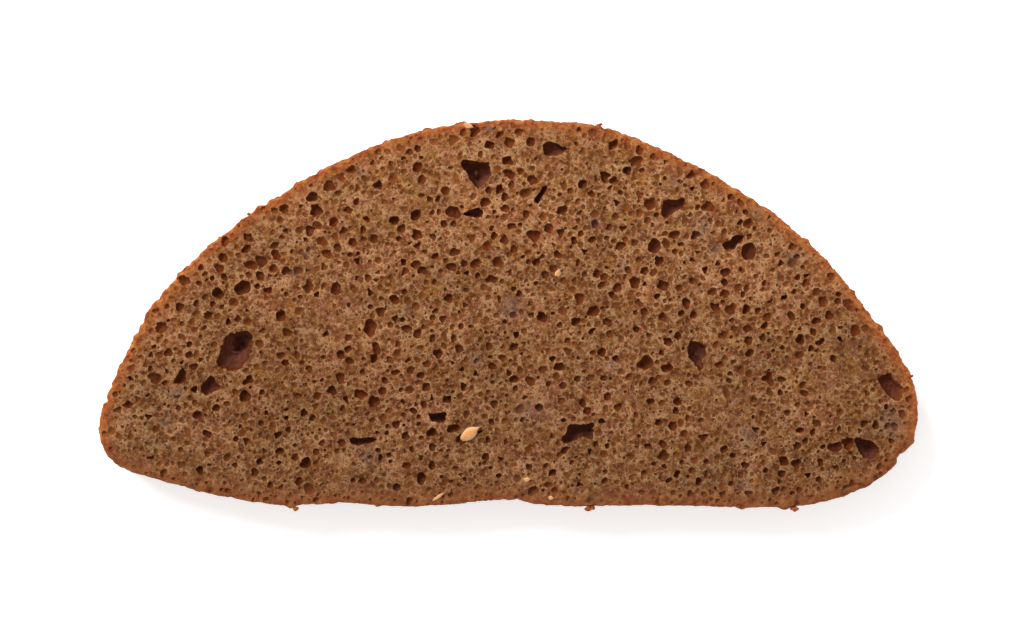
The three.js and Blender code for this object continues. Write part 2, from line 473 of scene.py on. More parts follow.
class Crust:
    """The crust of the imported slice, read as even rings of points, in millimetres."""

    def __init__(self, settings):
        step = settings.crust_step / MM
        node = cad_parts[SLICE].data
        self.tree = BVHTree.FromPolygons([v.co for v in node.vertices], [p.vertices for p in node.polygons])
        self.hub = np.array([0.0, -0.25 * HALF_HEIGHT])  # from here every direction meets the crust once
        directions = 3000
        dense = np.linspace(0, TURN, directions, endpoint=False)
        widest = np.array([self.reach(angle, WIDEST) for angle in dense])
        points = self.hub + widest[:, None] * pointing(dense)
        steps = np.linalg.norm(np.roll(points, -1, 0) - points, axis=1)
        self.girth = steps.sum()
        self.count = STRIPS * round(self.girth / step / STRIPS)
        travelled = np.concatenate([[0], np.cumsum(steps)[:-1]])
        self.angles = np.interp(np.arange(self.count) * self.girth / self.count, travelled, dense)
        self.rows = round(THICKNESS / step) + 1
        heights = np.linspace(0, THICKNESS, self.rows)
        edge = 0.04  # a ray this far from a cut face still meets the flank
        probed = [min(max(height, edge), THICKNESS - edge) for height in heights]
        reaches = np.array([[self.reach(angle, height) for angle in self.angles] for height in probed])
        self.rings = self.ring_points(self.even(reaches), heights)
        self.roughen(settings.crust_bumps / MM, settings.seed)
        self.round_off(settings.rounding / MM, settings.seed)

    def reach(self, angle, height):
        """How far the flank is from the hub, in a direction and at a height."""
        outside = 0.2  # metres from the hub, well clear of the slice
        along = Vector((math.cos(angle), math.sin(angle), 0))
        far = Vector((self.hub[0] * MM, self.hub[1] * MM, height * MM)) + along * outside
        hit = self.tree.ray_cast(far, -along)[0]
        if hit is None:
            raise RuntimeError("The packed slice has no crust where one is expected")
        return (outside - (far - hit).length) / MM

    def even(self, reaches):
        """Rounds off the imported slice's flat sides, first along the crust and then up it."""
        side, blur = 9, 4.0
        window = np.exp(-((np.arange(-side, side + 1) / blur) ** 2))
        window /= window.sum()
        wrapped = np.concatenate([reaches[:, -side:], reaches, reaches[:, :side]], 1)
        around = np.array([np.convolve(row, window, "valid") for row in wrapped])
        padded = np.concatenate([around[:1], around[:1], around, around[-1:], around[-1:]])
        upright = sum(padded[i : i + len(around)] for i in range(5)) / 5
        upright[0], upright[-1] = around[0], around[-1]
        return upright

    def ring_points(self, reaches, heights):
        """A ring of points at each height, as far from the hub as the reaches say."""
        flat = self.hub + reaches[:, :, None] * pointing(self.angles)
        up = np.broadcast_to(heights[:, None, None], (*reaches.shape, 1))
        return np.concatenate([flat, up], 2)

    def roughen(self, bump_height, seed):
        """Bumps, dents, knobs and fine cracks of the baked crust."""
        middle = self.rings[4 * self.rows // 5, :, :2]
        along = np.roll(middle, -2, 0) - np.roll(middle, 2, 0)
        along /= np.linalg.norm(along, axis=1)[:, None]
        self.outward = np.stack([along[:, 1], -along[:, 0]], 1)
        self.domeward = smooth_step(self.outward[:, 1], -0.75, 0.1)
        points = self.rings.reshape(-1, 3)
        out = bumps(points * (1, 1, 0.6), 4.5, seed) * 0.3
        out += rough(points, seed + 1, (2.0, 0.45), (0.95, 0.55), (0.5, 0.35))
        crease = 1 - np.abs(bumps(points * (1, 1, 0.5), 3.4, seed + 4))
        cracked = smooth_step(bumps(points, 9, seed + 5), -0.1, 0.4)  # only some of the crust
        out -= 0.9 * np.clip(crease - 0.9, 0, 1) / 0.1 * cracked
        out = out.reshape(self.rows, self.count) * bump_height * (0.6 + 0.4 * self.domeward)
        spot = middle / (HALF_WIDTH, HALF_HEIGHT)
        for across, up, half, stands in CRUST_KNOBS:
            near = np.linalg.norm((spot - (across, up)) * (HALF_WIDTH, HALF_HEIGHT), axis=1)
            nearest = near.argmin()
            steps = (np.arange(self.count) - nearest + self.count // 2) % self.count - self.count // 2
            around = np.exp(-((steps * self.girth / self.count / half) ** 2))
            out += stands * around * smooth_step(self.rings[:, :, 2], 0.2 * THICKNESS, 0.55 * THICKNESS)
        self.rings[:, :, :2] += out[:, :, None] * self.outward

    def round_off(self, rounding, seed):
        """Takes the edges off where the crust meets the two cut faces."""
        for ring, way in ((0, 1), (self.rows - 1, -1)):
            drop = edge_drop(self.rings[ring, :, :2], 0, rounding, seed + ring)
            far = np.abs(self.rings[:, :, 2] - self.rings[ring, :, 2])
            self.rings[:, :, 2] += way * drop * (1 - smooth_step(far, 0, 0.25 * THICKNESS))

    def room(self, points, ring):
        """How far points lie inside a ring, measured from the hub."""
        offset = points - self.hub
        border = self.rings[ring, :, :2] - self.hub
        angle = np.arctan2(offset[:, 1], offset[:, 0]) % TURN
        known = np.arctan2(border[:, 1], border[:, 0]) % TURN
        order = known.argsort()
        reach = np.interp(angle, known[order], np.linalg.norm(border, axis=1)[order], period=TURN)
        return reach - np.linalg.norm(offset, axis=1)

    def border_facts(self, points, ring):
        """Each point's distance to a ring, and how much the nearest crust belongs to the dome.

        Both are found at the corners of millimetre squares, and blended between them."""
        border = self.rings[ring, :, :2]
        low = points.min(0) - 1
        size = np.ceil(points.max(0) + 2 - low).astype(int)
        grid = np.stack(np.meshgrid(*(np.arange(n) for n in size), indexing="ij"), -1)
        grid = grid.reshape(-1, 2) + low
        blocks = np.array_split(grid, 40)  # one at a time, to save memory
        gaps = np.concatenate([np.stack(self.nearest(block, border)) for block in blocks], 1)
        cell = points - low
        base = np.floor(cell).astype(int)
        part = cell - base
        facts = np.zeros((2, len(points)))
        for corner in itertools.product((0, 1), repeat=2):
            index = (base[:, 0] + corner[0]) * size[1] + base[:, 1] + corner[1]
            weight = np.prod([part[:, k] if corner[k] else 1 - part[:, k] for k in (0, 1)], 0)
            facts += weight * gaps[:, index]
        return facts

    def nearest(self, block, border):
        """How far each point is from the border, and how much the crust there belongs to the dome."""
        gaps = np.linalg.norm(block[:, None] - border[None], axis=2)
        closest = gaps.argmin(1)
        return gaps[np.arange(len(block)), closest], self.domeward[closest]


Bubble = namedtuple("Bubble", "x y reach depth square tone")  # it reaches so far along each spoke


class Bubbles:
    """The bubbles that one cut opens."""

    def __init__(self):
        self.spokes = np.arange(SPOKES) * 2 * math.pi / SPOKES
        self.made = []

    def add_torn(self, x, y, corners, wobble, depth, square, tone, rounds=1, tatters=0.0):
        """A bubble whose mouth has the given corners, rounded off a number of times, with a ragged edge."""
        corners = np.array(corners, float)
        side = np.roll(corners, -1, 0) - corners
        way = pointing(self.spokes)[:, None]
        cross = way[..., 0] * side[:, 1] - way[..., 1] * side[:, 0]
        cross = np.where(np.abs(cross) < 1e-9, 1e-9, cross)
        out = (corners[:, 0] * side[:, 1] - corners[:, 1] * side[:, 0]) / cross
        spot = (corners[:, 0] * way[..., 1] - corners[:, 1] * way[..., 0]) / cross
        reach = np.where((out > 0) & (spot >= 0) & (spot <= 1), out, 0).max(1)
        reach = np.maximum(reach, 0.3 * np.hypot(*corners.T).mean())
        for _ in range(rounds):
            reach = (np.roll(reach, 1) + 2 * reach + np.roll(reach, -1)) / 4
        self.made.append(Bubble(x, y, self.ragged(reach, wobble) * (1 + tatters), depth, square, tone))

    def add_oval(self, x, y, long, short, turn, wobble, depth, square, tone):
        """A bubble with an oval mouth, which wobble makes three-cornered or ragged."""
        angle = self.spokes - turn
        reach = long * short / np.hypot(short * np.cos(angle), long * np.sin(angle))
        self.made.append(Bubble(x, y, self.ragged(reach, wobble), depth, square, tone))

    def ragged(self, reach, wobble):
        """A reach with waves round the mouth, each with its height and its start."""
        for wave, (size, start) in enumerate(wobble, 2):
            reach = reach * (1 + size * np.cos(wave * self.spokes + start))
        return reach

    def share_of_reach(self, bubble, points):
        """0 at a bubble's middle, 1 at its rim and more outside, and the bubble's reach that way."""
        offset = points - (bubble.x, bubble.y)
        gap = np.hypot(offset[:, 0], offset[:, 1])
        reach = toward(bubble.reach, np.arctan2(offset[:, 1], offset[:, 0]) % TURN)
        return gap / reach, reach


class Finder:
    """Finds points near a place quickly, by millimetre squares."""

    def __init__(self, points):
        self.low = points.min(0)
        grid = np.floor(points - self.low).astype(int)
        self.size = grid.max(0) + 1
        key = grid[:, 1] * self.size[0] + grid[:, 0]
        self.order = np.argsort(key, kind="stable")
        self.start = np.searchsorted(key[self.order], np.arange(self.size[0] * self.size[1] + 1))

    def near(self, x, y, reach):
        """The numbers of the points that may lie within a reach of a place."""
        first, last = (
            np.clip(np.floor(np.array((x, y)) + way - self.low), 0, self.size - 1).astype(int)
            for way in (-reach, reach)
        )
        spans = []
        for row in range(first[1], last[1] + 1):
            base = row * self.size[0]
            spans.append(self.order[self.start[base + first[0]] : self.start[base + last[0] + 1]])
        return np.concatenate(spans)


def raised_bubbles(settings, crust, ring, rng, placed, amount):
    """All bubbles of one cut face: the torn ones, then those sown, from the largest kind to the smallest."""
    bubbles = Bubbles()
    tile = 2  # the cut is kept in squares of this size, so that a search is short
    taken = {}  # the bubbles in each square

    def tiles_under(x, y, reach):
        return itertools.product(*(
            range(int((middle - reach) // tile), int((middle + reach) // tile) + 1) for middle in (x, y)
        ))

    def claim(x, y, reach):
        for place in tiles_under(x, y, reach):
            taken.setdefault(place, []).append((x, y, reach))

    def is_free(x, y, reach):
        return all(
            (x - a) ** 2 + (y - b) ** 2 >= (reach + r + settings.wall / MM) ** 2
            for place in tiles_under(x, y, reach)
            for a, b, r in taken.get(place, ())
        )

    def wobble_of(size, amount=1.0):
        """Waves round a mouth, each with its height and its start. Small mouths are rounder."""
        lively = min(1.0, 0.5 + 0.35 * size)
        waves = rng.normal(0, 1, len(WAVES)) * (np.array(WAVES) * lively * 0.75)
        return list(zip(amount * waves, rng.uniform(0, TURN, len(WAVES))))

    def corners_of(long, short, turn):
        """The corners of a mouth that fills about the given oval."""
        count = rng.integers(3, 7)
        angle = (np.arange(count) + rng.uniform(-0.3, 0.3, count)) * 2 * math.pi / count
        grown = rng.uniform(0.95, 1.3, count)
        return turned(long * grown * np.cos(angle), short * grown * np.sin(angle), turn)

    if placed:
        for across, up, depth, square, corners in TORN_BUBBLES:
            x, y = across * HALF_WIDTH, up * HALF_HEIGHT
            wobble = wobble_of(1.0, 0.18)
            tone = rng.uniform(-0.4, 0.4)
            tatters = rng.normal(0, 0.04, SPOKES)
            bubbles.add_torn(x, y, corners, wobble, 0.8 * depth, square, tone, tatters=tatters)
            spread = np.array(corners)
            for dx, dy in (*(spread * 0.55), (0, 0)):  # these circles cover the mouth
                claim(x + dx, y + dy, 0.45 * np.hypot(*spread.T).mean())

    def sow(count, middle, spread, largest, depths, squares, tries=14):
        """Bubbles of one kind, the largest first. A bubble that finds no room in its tries is left out.

        The depths and the squares are the least and the most that a bubble gets."""
        drawn = middle * np.exp(rng.normal(0, spread, int(count * amount)))
        for size in np.sort(np.minimum(drawn, largest))[::-1] / 2:
            for _ in range(tries):
                x = rng.uniform(-1, 1) * HALF_WIDTH
                y = rng.uniform(-1, 1) * HALF_HEIGHT
                local = size * (0.92 + 0.16 * y / HALF_HEIGHT)  # bubbles are wider towards the dome
                oval = rng.uniform(0.68, 1.0)
                long, short = local / math.sqrt(oval), local * math.sqrt(oval)
                spot = np.array([[x, y]])
                airy = bumps(spot, 7.0, settings.seed + 30)[0]
                if airy < rng.uniform(-1.2, 0.1):  # some of the crumb is denser
                    continue
                squeezed = local * (0.7 if rng.random() < settings.merging else 1)
                if crust.room(spot, ring)[0] < long + 0.2 or not is_free(x, y, squeezed):
                    continue
                claim(x, y, local)
                deep = (depths[0] + (depths[1] - depths[0]) * rng.beta(1.5, 2.0)) * local
                tone = rng.uniform(-1, 1)
                turn = rng.uniform(0, math.pi)
                square = rng.uniform(*squares)
                if rng.random() < settings.corners:
                    corners = corners_of(long, short, turn)
                    bubbles.add_torn(x, y, corners, wobble_of(long, 0.5), deep, square, tone, rounds=6)
                else:
                    bubbles.add_oval(x, y, long, short, turn, wobble_of(long), deep, square, tone)
                break

    bubble = settings.bubble_size / MM
    pore = settings.pore_size / MM
    sow(settings.bubble_count, bubble, settings.bubble_spread, 3.3, (0.65, 1.6), (2.2, 3.6), tries=40)
    sow(settings.pore_count, pore, settings.pore_spread, 1.7, (0.55, 1.5), (2.4, 5.0))
    sow(settings.dimple_count, pore * 1.05, 0.35, 1.8, (0.35, 0.8), (1.8, 2.6))
    sow(settings.pinhole_count, pore * 0.46, 0.22, 0.6, (0.4, 1.1), (2.2, 3.5), tries=8)
    return bubbles


def cut_face(settings, crust, ring, bubbles, step, rng):
    """Triangulates a cut face: its border, rings of points round every rim, and the crumb between."""
    border = crust.rings[ring, :, :2]
    row_gap = 0.87 * step  # rows this close make even triangles
    grid_x = np.arange(-HALF_WIDTH, HALF_WIDTH, step)
    grid_y = np.arange(-HALF_HEIGHT, HALF_HEIGHT, row_gap)
    mesh_x, mesh_y = np.meshgrid(grid_x, grid_y)
    mesh_x[1::2] += step / 2
    crumb = np.stack([mesh_x.ravel(), mesh_y.ravel()], 1)
    jitter = 0.24  # in mesh steps
    crumb += rng.uniform(-jitter, jitter, crumb.shape) * step
    crumb = crumb[crust.room(crumb, ring) > 0.6 * step]
    finder = Finder(crumb)
    keep = np.ones(len(crumb), bool)
    rims = []
    for bubble in bubbles.made:
        x, y, reach = bubble[:3]
        mean = reach.mean()
        near = finder.near(x, y, reach.max() + step)
        part, way = bubbles.share_of_reach(bubble, crumb[near])
        gap = (part - 1) * way
        is_small = mean < 2.6 * step  # a small bubble has points of its own and none of the crumb's
        spoilt = (np.abs(gap) < 0.42 * step) | ((part < 1) & is_small)
        keep[near[spoilt]] = False
        lip = min(0.035, 0.08 * mean)  # half the breadth of the sharp rim
        rim_step = 0.62 * step
        around = max(7, round(2 * math.pi * mean / rim_step))
        levels = [(1 + lip / mean, around), (1 - lip / mean, around)]
        if mean > 0.8 * step and is_small:
            levels += [(0.72, max(6, round(0.75 * around)))]
        if mean > 1.3 * step and is_small:
            levels += [(0.42, max(5, round(0.45 * around)))]
        if not is_small:
            levels += [(1 - 0.11 / mean, around)]
        for level, places in levels:
            angle = (np.arange(places) + rng.uniform(0, 1) * (level < 0.9)) * 2 * math.pi / places
            far = toward(reach, angle) * level
            rims.append((x, y) + far[:, None] * pointing(angle))
        if is_small:
            rims.append(np.array([[x, y]]))
    rims = np.concatenate(rims)
    rims = rims[crust.room(rims, ring) > 0.12]
    points = np.concatenate([border, rims, crumb[keep]])
    count = len(border)
    loop = [(i, (i + 1) % count) for i in range(count)]
    points = [Vector(point) for point in points.tolist()]
    flat, _, faces, origin, _, _ = delaunay_2d_cdt(points, loop, [], 1, 1e-6, True)
    flat = np.array([tuple(point) for point in flat])
    on_border = np.full(len(flat), -1)
    for index, sources in enumerate(origin):
        for source in sources:
            if source < count:
                on_border[index] = source
    faces = np.array(faces)
    order = on_border[faces]
    turns = ((np.roll(order, -1, 1) - order) % count).sum(1)
    in_a_dent = (order >= 0).all(1) & (turns > count)  # these would bridge the dents of the outline
    return flat, faces[~in_a_dent], on_border


def sink(settings, bubbles, flat, seed):
    """How deep each point of a cut face lies, with its bubble's tone and its closeness to a rim."""
    depth = np.zeros(len(flat))
    tone = np.zeros(len(flat))
    lip = np.zeros(len(flat))
    finder = Finder(flat)
    uneven = 1 + rough(flat, seed + 20, (1.1, 0.2), (0.5, 0.14))
    for bubble in bubbles.made:
        near = finder.near(bubble.x, bubble.y, bubble.reach.max() + 0.3)
        part, way = bubbles.share_of_reach(bubble, flat[near])
        inside = part < 1
        is_deep = bubble.depth > 0.8 * bubble.reach.mean()
        steepness = 0.5 if is_deep else 0.9  # a shallow hollow has a soft edge
        falls = bubble.depth * (1 - np.minimum(part, 1) ** bubble.square) ** steepness * uneven[near]
        deeper = inside & (falls > depth[near])
        tone[near[deeper]] = bubble.tone
        depth[near[deeper]] = falls[deeper]
        # Closeness to the rim outside a pore, where the shader paints a highlight on the crumb
        close = np.where(inside, 0, np.exp(-(part - 1) * way / 0.14))
        lip[near] = np.maximum(lip[near], close)
    return depth, tone, lip


def blooms_on(flat):
    """How much old flour lies on each point of the upper cut."""
    amount = np.zeros(len(flat))
    for across, up, reach, most in BLOOMS:
        gap = np.linalg.norm(flat - (across * HALF_WIDTH, up * HALF_HEIGHT), axis=1)
        amount = np.maximum(amount, most * np.exp(-((gap / reach) ** 2)))
    return amount


def join_faces(crust, upper, lower):
    """Joins the two cut faces and the crust between them into one closed skin."""
    columns, rows = crust.count, crust.rows
    points = [crust.rings.reshape(-1, 3)]
    total = columns * rows
    groups = []
    for face, ring, is_below in ((upper, rows - 1, False), (lower, 0, True)):
        flat, triangles, on_border = face["flat"], face["triangles"], face["on_border"]
        index = np.where(on_border >= 0, ring * columns + on_border, 0)
        inner = on_border < 0
        index[inner] = total + np.arange(inner.sum())
        total += inner.sum()
        points.append(np.concatenate([flat[inner], face["height"][inner, None]], 1))
        corners = index[triangles]
        groups.append(corners[:, ::-1] if is_below else corners)
    row, column = np.meshgrid(np.arange(rows - 1), np.arange(columns), indexing="ij")
    first = row * columns + column
    second = row * columns + (column + 1) % columns
    sides = np.stack([first, second, second + columns, first + columns], -1).reshape(-1, 4)
    return np.concatenate(points), groups[0], groups[1], sides


def lay_out(crust, points, upper, lower, sides):
    """Texture places of every corner: the upper cut, the lower cut, and the crust in strips."""
    margin = 0.008
    fine, coarse = 0.142, 0.18  # millimetres to a texel, on the upper cut and elsewhere
    texels = 1024
    spots = []
    top = margin
    for corners, texel in ((upper, fine), (lower, coarse)):
        place = (points[corners.ravel(), :2] + (HALF_WIDTH + 1, HALF_HEIGHT + 1)) / (texel * texels)
        spots.append(place + (margin, top))
        top += (2 * HALF_HEIGHT + 2) / (texel * texels) + margin
    per_strip = crust.count // STRIPS
    quad = np.arange(len(sides))
    column, row = quad % crust.count, quad // crust.count
    strip = np.minimum(column // per_strip, STRIPS - 1)
    across = np.array([0, 1, 1, 0])
    up = np.array([0, 0, 1, 1])
    step = crust.girth / crust.count / (coarse * texels)
    rise = THICKNESS / (crust.rows - 1) / (coarse * texels)
    left = ((column - strip * per_strip)[:, None] + across) * step
    high = (row[:, None] + up) * rise + strip[:, None] * (THICKNESS / (coarse * texels) + margin)
    spots.append(np.stack([left.ravel() + margin, high.ravel() + top], 1))
    return np.concatenate(spots)


def build_mesh(name, points, faces, measures=None, texture=None):
    """A mesh from millimetre points, with the numbers and texture places that it carries."""
    mesh = bpy.data.meshes.new(name)
    mesh.vertices.add(len(points))
    mesh.vertices.foreach_set("co", (points * MM).astype(np.float32).ravel())
    loops = np.concatenate([group.ravel() for group in faces])
    sizes = np.concatenate([np.full(len(group), group.shape[1]) for group in faces])
    mesh.loops.add(len(loops))
    mesh.loops.foreach_set("vertex_index", loops.astype(np.int32))
    mesh.polygons.add(len(sizes))
    mesh.polygons.foreach_set("loop_start", np.concatenate([[0], np.cumsum(sizes)[:-1]]).astype(np.int32))
    for key, values in (measures or {}).items():
        layer = mesh.attributes.new(key, "FLOAT", "POINT")
        layer.data.foreach_set("value", values.astype(np.float32))
    if texture is not None:
        mesh.uv_layers.new(name="OFBake").data.foreach_set("uv", texture.astype(np.float32).ravel())
    mesh.update(calc_edges=True)
    if mesh.validate():
        raise RuntimeError(f"{name} has faces that don't fit together")
    return mesh


def show(mesh, material, name):
    """Puts a mesh in the scene."""
    mesh.materials.append(material)
    piece = bpy.data.objects.new(name, mesh)
    bpy.context.scene.collection.objects.link(piece)
    return piece


def bread_material(look):
    """Moist, grainy rye crumb that turns into baked crust towards the rim."""
    sheet = Sheet("rye_crumb_and_crust")
    place = sheet.node("ShaderNodeTexCoord", output="Object")
    depth, edge = sheet.measure("depth"), sheet.measure("edge")
    tone, lip = sheet.measure("tone"), sheet.measure("lip")
    dome, bloom = sheet.measure("dome"), sheet.measure("bloom")
    level = sheet.node("ShaderNodeSeparateXYZ", None, {"Vector": place}, "Z")
    # Painted light: how far up the cut a point lies, for painting the crumb lighter towards the top, where
    # the key light comes from
    painted_top_light = sheet.node("ShaderNodeSeparateXYZ", None, {"Vector": place}, "Y")
    painted_top_light = painted_top_light.between(-HALF_HEIGHT * MM, HALF_HEIGHT * MM)

    crooked = sheet.drifted(place, 0.8 * MM, 0.5 * MM)
    broad = sheet.noise(place, 11 * MM, 3)
    patch = sheet.noise(place, 3.0 * MM, 3, 0.6)
    wall = sheet.noise(crooked, 0.8 * MM, 2, 0.55)
    torn = sheet.noise(place, 1.9 * MM, 2, 0.5)
    fleck = sheet.noise(crooked, 0.36 * MM, 1, 0.5).between(0.56, 0.68)
    grain = sheet.noise(place, 0.2 * MM, 3, 0.6)
    # Pits and nicks of the bump, in which the shader paints shade
    far, luck = sheet.cells(crooked, 0.7 * MM)
    pit = (1 - far.between(0.12, 0.58)) * luck.between(0.15, 0.8)
    far, luck = sheet.cells(crooked, 0.42 * MM)
    nick = (1 - far.between(0.2, 0.5)) * luck.between(0.35, 0.95)
    strand = 1 - sheet.strands(crooked, 0.85 * MM).between(0.02, 0.17)
    # Spots of the moist specks, which get painted glints in the colour and a smoother surface
    far, luck = sheet.cells(place, 0.4 * MM)
    speck = (1 - far.between(0.14, 0.36)) * luck.between(0.88, 0.93)

    rosy = (1 - patch).between(0.48, 0.62) * 0.8 + broad.between(0.45, 0.6) * 0.4
    crumb = sheet.layered(
        look.crumb,
        (look.golden, patch.between(0.46, 0.62) * 0.7),
        (look.warm, rosy),
        # Painted shade in the low places of the relief and the bump: between the walls, in the foam's cells,
        # the pits, the nicks and the grain's lows
        (look.painted_shade, (0.5 - wall).between(0, 0.16) * 0.6),
        # Painted highlight on the raised walls, besides their own paler colour
        (look.pale, wall.between(0.52, 0.66) * 0.55),
        (look.painted_shade, sheet.measure("foam").between(0.0, 0.7) * 0.85),
        (look.painted_shade, pit * 0.4),
        (look.painted_shade, nick * 0.25),
        (look.painted_shade, (0.5 - grain).between(0, 0.3) * 0.3),
        # Painted highlight on the grain's highs, on the strands of the walls and on the pores' rims
        (look.pale, grain.between(0.5, 0.8) * 0.3),
        (look.pale, strand * torn.between(0.46, 0.6) * 0.55),
        (look.pale, lip * wall.between(0.4, 0.6) * 0.6),
        (look.pale, fleck * 0.35),
    )
    crumb = sheet.scaled(crumb, (0.74 + torn * 0.52) * (0.6 + broad * 0.8))
    # Painted highlight: glints painted on the moist specks
    crumb = sheet.mixed(crumb, look.gleam, speck * 0.45)

    # Painted shade: each pore's inside is painted darker and redder with its depth, and the deepest get the
    # colour of their shade
    inside = depth.between(0, 0.14)
    hollow = sheet.mixed(look.shallow, look.pore, depth.between(0.12, 0.65))
    hollow = sheet.scaled(hollow, 0.8 + grain * 0.4 + tone * 0.22)
    crumb = sheet.layered(crumb, (hollow, inside * 0.9), (look.deep, depth.between(1.1, 2.6) * 0.8))
    # Painted light and shade: the crumb is painted lighter towards the top and darker towards the bottom
    crumb = sheet.scaled(crumb, 0.83 + painted_top_light * 0.34)

    crisp = sheet.noise(crooked, 1.3 * MM, 3, 0.6)
    baked = sheet.layered(
        look.base,
        (look.crust, dome),
        (look.crust_gold, crisp.between(0.46, 0.68) * (0.25 + dome * 0.6)),
        (look.crust_red, (1 - crisp).between(0.46, 0.68) * (0.35 + patch.between(0.42, 0.6) * 0.5)),
        (look.crust_gold, fleck * dome * 0.5),
        # Painted shade in the crust's small pits
        (look.crust_red, pit * 0.5),
    )
    baked = sheet.scaled(baked, 0.62 + grain * 0.76)
    under_rim = 1 - level.between((THICKNESS - 3.0) * MM, (THICKNESS - 0.6) * MM)
    scorch = sheet.noise(place, 3.2 * MM, 5, 0.65).between(0.56, 0.7) * (0.85 - dome * 0.75)
    baked = sheet.layered(
        baked, (look.skin, under_rim * (0.55 + patch.between(0.4, 0.6) * 0.3)), (look.scorch, scorch)
    )
    reach = look.crust_reach / MM
    ragged = edge + (crisp - 0.5) * (2.2 * reach)
    crusted = 1 - ragged.between(0.4 * reach, 1.4 * reach)
    crumb = sheet.mixed(crumb, baked, (1 - edge.between(0.8, 4.5)) * (0.5 - dome * 0.2))
    tint = sheet.mixed(crumb, baked, crusted * (1 - inside * 0.5))
    tint = sheet.mixed(tint, look.bloom, bloom * grain.between(0.25, 0.6) * 0.7)

    roughness = 0.84 - wall.between(0.45, 0.75) * 0.15 - speck * 0.4
    height = wall * 0.6 + grain * 0.18 + strand * 0.2 - pit * 0.25 - nick * 0.1
    moist = {
        "Specular IOR Level": 0.1, "Subsurface Weight": 0.5, "Subsurface Radius": (1.0, 0.42, 0.16),
        "Subsurface Scale": 0.9 * MM,
    }
    return sheet.surface(tint, roughness, sheet.bumped(height, 0.45, 0.2 * MM), **moist)


def husk_material(look):
    """Straw-coloured husk with a lengthwise grain and a pale edge."""
    sheet = Sheet("husk")
    place = sheet.node("ShaderNodeTexCoord", output="Object")
    streaks = sheet.noise(place, 0.3 * MM, 3, 0.6)
    tint = sheet.mixed(look.husk, look.husk_edge, sheet.measure("rim") * 0.8)
    tint = sheet.scaled(tint, 0.7 + streaks * 0.6)
    return sheet.surface(tint, 0.62 + streaks * 0.2, sheet.bumped(streaks, 0.5, 0.05 * MM))


class BREAD_OT_slice(Operator):
    """Bakes the slice: one closed skin with its bubbles, its crumb and its crust"""

    bl_idname = "bread.slice"
    bl_label = "Bread slice"

    def execute(self, context):
        settings = context.scene.bread_slice
        rng = np.random.default_rng(settings.seed)
        crust = Crust(settings)
        upper = self.face(settings, crust, crust.rows - 1, rng, True, 1.0, settings.mesh_step / MM)
        lower = self.face(settings, crust, 0, rng, False, 0.6, settings.under_step / MM)
        points, top, bottom, sides = join_faces(crust, upper, lower)
        measures = self.measures(crust, points, upper, lower)
        texture = lay_out(crust, points, top, bottom, sides)
        mesh = build_mesh("rye_slice", points, (top, bottom, sides), measures, texture)
        mesh.set_sharp_from_angle(angle=math.radians(62))
        piece = show(mesh, bread_material(settings), "rye_slice")
        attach(piece, "root")
        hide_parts(SLICE)
        return {"FINISHED"}

    def face(self, settings, crust, ring, rng, placed, amount, step):
        """One cut face with the height and the measures of each of its points."""
        bubbles = raised_bubbles(settings, crust, ring, rng, placed, amount)
        flat, triangles, on_border = cut_face(settings, crust, ring, bubbles, step, rng)
        seed = settings.seed + ring
        depth, tone, lip = sink(settings, bubbles, flat, seed)
        tear = rough(flat, seed, (1.5, 0.6), (0.6, 0.8), (3.5, 0.5))
        drift = np.stack([bumps(flat, 0.8, seed + 3), bumps(flat, 0.8, seed + 4)], 1) * 0.16
        pits = np.clip((0.52 - foam(flat + drift, 1.1, seed + 5)) / 0.34, 0, 1)
        pits *= np.clip(0.6 + 0.9 * bumps(flat, 1.3, seed + 7), 0, 1)
        walls = foam(flat + drift, 0.8, seed + 6) - 0.5
        relief = tear * settings.tear / MM + (0.25 + walls * 0.4 - pits) * settings.foam / MM
        border = on_border >= 0
        edge, dome = crust.border_facts(flat, ring)
        sunk = depth + np.where(depth > 0, 0.03, 0) - relief * np.exp(-depth)
        sunk += edge_drop(flat, edge, settings.rounding / MM, seed)
        sunk = np.clip(sunk, -0.2, 0.55 * THICKNESS)
        depth[border] = 0
        height = THICKNESS - sunk if ring else sunk.clip(0)
        # The foam measure marks the low places of the foam's cells and of the tear, where the shader paints
        # shade
        return {
            "flat": flat, "triangles": triangles, "on_border": on_border, "height": height, "depth": depth,
            "tone": tone, "lip": lip, "edge": edge, "dome": dome, "foam": pits + 0.3 * np.clip(-tear, 0, 1),
            "bloom": blooms_on(flat) if placed else np.zeros(len(flat)),
        }

    def measures(self, crust, points, upper, lower):
        """What the shader reads: each number for the crust first, then for the two cut faces."""
        on_crust = crust.count * crust.rows
        start = {name: np.zeros(on_crust) for name in ("depth", "tone", "lip", "edge", "bloom", "foam")}
        start["dome"] = np.tile(crust.domeward, crust.rows)
        made = {}
        for name, values in start.items():
            inner = [face[name][face["on_border"] < 0] for face in (upper, lower)]
            made[name] = np.concatenate([values, *inner])
        return made


